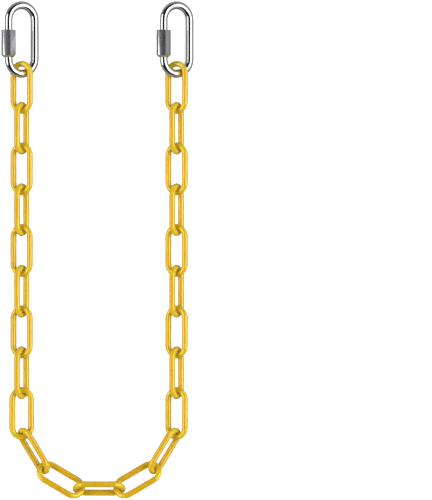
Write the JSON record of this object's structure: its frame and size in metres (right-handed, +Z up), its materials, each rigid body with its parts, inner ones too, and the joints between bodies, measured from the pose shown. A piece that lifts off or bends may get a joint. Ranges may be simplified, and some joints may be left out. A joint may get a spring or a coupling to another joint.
{
  "type": "plastic barrier chain",
  "caption": "Yellow plastic barrier chain of oval links, laid in a U, with a screw-lock steel quick link at each end to hang it between posts or stanchions.",
  "frame": {"origin": "on the floor, in the middle of the footprint of the whole chain", "axes": "+X to the right across the U, +Y from the bottom of the U up along its two straight strands, +Z up from the floor"},
  "size_m": [0.1918, 0.496, 0.0254],
  "materials": {
    "yellow_plastic": "smooth moulded, glossy",
    "polished_steel": "mirror polished",
    "satin_steel": "satin"
  },
  "bodies": {
    "link_middle": {"link_middle": "yellow_plastic"},
    "link_a_01": {"link_a_01": "yellow_plastic"},
    "link_a_02": {"link_a_02": "yellow_plastic"},
    "link_a_03": {"link_a_03": "yellow_plastic"},
    "link_a_04": {"link_a_04": "yellow_plastic"},
    "link_a_05": {"link_a_05": "yellow_plastic"},
    "link_a_06": {"link_a_06": "yellow_plastic"},
    "link_a_07": {"link_a_07": "yellow_plastic"},
    "link_a_08": {"link_a_08": "yellow_plastic"},
    "link_a_09": {"link_a_09": "yellow_plastic"},
    "link_a_10": {"link_a_10": "yellow_plastic"},
    "link_a_11": {"link_a_11": "yellow_plastic"},
    "quick_link_a": {"quick_link_a": "polished_steel"},
    "quick_link_a_nut": {"quick_link_a_nut": "satin_steel"},
    "link_b_01": {"link_b_01": "yellow_plastic"},
    "link_b_02": {"link_b_02": "yellow_plastic"},
    "link_b_03": {"link_b_03": "yellow_plastic"},
    "link_b_04": {"link_b_04": "yellow_plastic"},
    "link_b_05": {"link_b_05": "yellow_plastic"},
    "link_b_06": {"link_b_06": "yellow_plastic"},
    "link_b_07": {"link_b_07": "yellow_plastic"},
    "link_b_08": {"link_b_08": "yellow_plastic"},
    "link_b_09": {"link_b_09": "yellow_plastic"},
    "link_b_10": {"link_b_10": "yellow_plastic"},
    "link_b_11": {"link_b_11": "yellow_plastic"},
    "quick_link_b": {"quick_link_b": "polished_steel"},
    "quick_link_b_nut": {"quick_link_b_nut": "satin_steel"}
  },
  "joints": [
    {"name": "strand_a_joint_01", "type": "hinge", "parent": "link_middle", "child": "link_a_01", "pos_m": [0.02524, -0.23816, 0.01107], "axis": [0, 0, -1], "range_deg": [-9.5, 70.5]},
    {"name": "strand_a_joint_02", "type": "hinge", "parent": "link_a_01", "child": "link_a_02", "pos_m": [0.0547, -0.2208, 0.01107], "axis": [0, 0, 1], "range_deg": [-68.5, 11.5]},
    {"name": "strand_a_joint_03", "type": "hinge", "parent": "link_a_02", "child": "link_a_03", "pos_m": [0.07901, -0.18034, 0.01107], "axis": [0, 0, -1], "range_deg": [-9, 71]},
    {"name": "strand_a_joint_04", "type": "hinge", "parent": "link_a_03", "child": "link_a_04", "pos_m": [0.07901, -0.14614, 0.01107], "axis": [0, 0, 1], "range_deg": [-40, 15]},
    {"name": "strand_a_joint_05", "type": "hinge", "parent": "link_a_04", "child": "link_a_05", "pos_m": [0.07901, -0.09894, 0.01107], "axis": [0, 0, -1], "range_deg": [-17, 40]},
    {"name": "strand_a_joint_06", "type": "hinge", "parent": "link_a_05", "child": "link_a_06", "pos_m": [0.07901, -0.06474, 0.01107], "axis": [0, 0, 1], "range_deg": [-40, 19]},
    {"name": "strand_a_joint_07", "type": "hinge", "parent": "link_a_06", "child": "link_a_07", "pos_m": [0.07901, -0.01754, 0.01107], "axis": [0, 0, -1], "range_deg": [-22, 40]},
    {"name": "strand_a_joint_08", "type": "hinge", "parent": "link_a_07", "child": "link_a_08", "pos_m": [0.07901, 0.01666, 0.01107], "axis": [0, 0, 1], "range_deg": [-40, 26]},
    {"name": "strand_a_joint_09", "type": "hinge", "parent": "link_a_08", "child": "link_a_09", "pos_m": [0.07901, 0.06386, 0.01107], "axis": [0, 0, -1], "range_deg": [-32, 40]},
    {"name": "strand_a_joint_10", "type": "hinge", "parent": "link_a_09", "child": "link_a_10", "pos_m": [0.07901, 0.09806, 0.01107], "axis": [0, 0, 1], "range_deg": [-40, 40]},
    {"name": "strand_a_joint_11", "type": "hinge", "parent": "link_a_10", "child": "link_a_11", "pos_m": [0.07901, 0.14526, 0.01107], "axis": [0, 0, -1], "range_deg": [-40, 40]},
    {"name": "quick_link_a_swing", "type": "hinge", "parent": "link_a_11", "child": "quick_link_a", "pos_m": [0.07901, 0.18596, 0.01107], "axis": [0.483, 0, 0.8756], "range_deg": [0, 75]},
    {"name": "quick_link_a_nut_travel", "type": "slide", "parent": "quick_link_a", "child": "quick_link_a_nut", "axis": [0, 1, 0], "range_m": [0, 0.0094]},
    {"name": "strand_b_joint_01", "type": "hinge", "parent": "link_middle", "child": "link_b_01", "pos_m": [-0.02196, -0.23816, 0.01107], "axis": [0, 0, 1], "range_deg": [-9.5, 70.5]},
    {"name": "strand_b_joint_02", "type": "hinge", "parent": "link_b_01", "child": "link_b_02", "pos_m": [-0.05143, -0.2208, 0.01107], "axis": [0, 0, -1], "range_deg": [-68.5, 11.5]},
    {"name": "strand_b_joint_03", "type": "hinge", "parent": "link_b_02", "child": "link_b_03", "pos_m": [-0.07574, -0.18034, 0.01107], "axis": [0, 0, 1], "range_deg": [-9, 71]},
    {"name": "strand_b_joint_04", "type": "hinge", "parent": "link_b_03", "child": "link_b_04", "pos_m": [-0.07574, -0.14614, 0.01107], "axis": [0, 0, -1], "range_deg": [-40, 15]},
    {"name": "strand_b_joint_05", "type": "hinge", "parent": "link_b_04", "child": "link_b_05", "pos_m": [-0.07574, -0.09894, 0.01107], "axis": [0, 0, 1], "range_deg": [-17, 40]},
    {"name": "strand_b_joint_06", "type": "hinge", "parent": "link_b_05", "child": "link_b_06", "pos_m": [-0.07574, -0.06474, 0.01107], "axis": [0, 0, -1], "range_deg": [-40, 19]},
    {"name": "strand_b_joint_07", "type": "hinge", "parent": "link_b_06", "child": "link_b_07", "pos_m": [-0.07574, -0.01754, 0.01107], "axis": [0, 0, 1], "range_deg": [-22, 40]},
    {"name": "strand_b_joint_08", "type": "hinge", "parent": "link_b_07", "child": "link_b_08", "pos_m": [-0.07574, 0.01666, 0.01107], "axis": [0, 0, -1], "range_deg": [-40, 26]},
    {"name": "strand_b_joint_09", "type": "hinge", "parent": "link_b_08", "child": "link_b_09", "pos_m": [-0.07574, 0.06386, 0.01107], "axis": [0, 0, 1], "range_deg": [-32, 40]},
    {"name": "strand_b_joint_10", "type": "hinge", "parent": "link_b_09", "child": "link_b_10", "pos_m": [-0.07574, 0.09806, 0.01107], "axis": [0, 0, -1], "range_deg": [-40, 40]},
    {"name": "strand_b_joint_11", "type": "hinge", "parent": "link_b_10", "child": "link_b_11", "pos_m": [-0.07574, 0.14526, 0.01107], "axis": [0, 0, 1], "range_deg": [-40, 40]},
    {"name": "quick_link_b_swing", "type": "hinge", "parent": "link_b_11", "child": "quick_link_b", "pos_m": [-0.07574, 0.18596, 0.01107], "axis": [0.483, 0, 0.8756], "range_deg": [0, 75]},
    {"name": "quick_link_b_nut_travel", "type": "slide", "parent": "quick_link_b", "child": "quick_link_b_nut", "axis": [0, 1, 0], "range_m": [0, 0.0094]}
  ]
}
